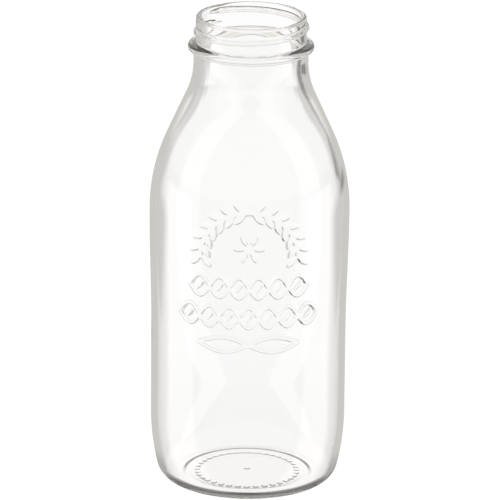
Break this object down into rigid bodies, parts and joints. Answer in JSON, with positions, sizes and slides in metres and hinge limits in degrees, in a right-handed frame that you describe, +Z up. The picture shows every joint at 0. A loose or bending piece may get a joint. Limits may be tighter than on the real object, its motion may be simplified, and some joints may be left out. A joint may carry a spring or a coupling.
{
  "type": "glass milk bottle",
  "caption": "Round clear-glass milk bottle with a wide threaded mouth, transfer bead, long sloping shoulder and raised leaf and wave decoration.",
  "frame": {"origin": "centre of the resting ring, on the surface that the bottle stands on", "axes": "+Z up along the bottle's axis and out of the mouth, raised decoration faces -Y"},
  "size_m": [0.0936, 0.0941, 0.225],
  "materials": {
    "flint_glass": "clear, fire-polished, IOR 1.52"
  },
  "bodies": {
    "root": {"base": "flint_glass", "heel": "flint_glass", "body_wall": "flint_glass", "shoulder": "flint_glass", "neck": "flint_glass", "transfer_bead": "flint_glass", "neck_finish": "flint_glass", "screw_thread": "flint_glass", "leaf_arch": "flint_glass", "wave_bands": "flint_glass", "base_marks": "flint_glass"}
  },
  "joints": []
}
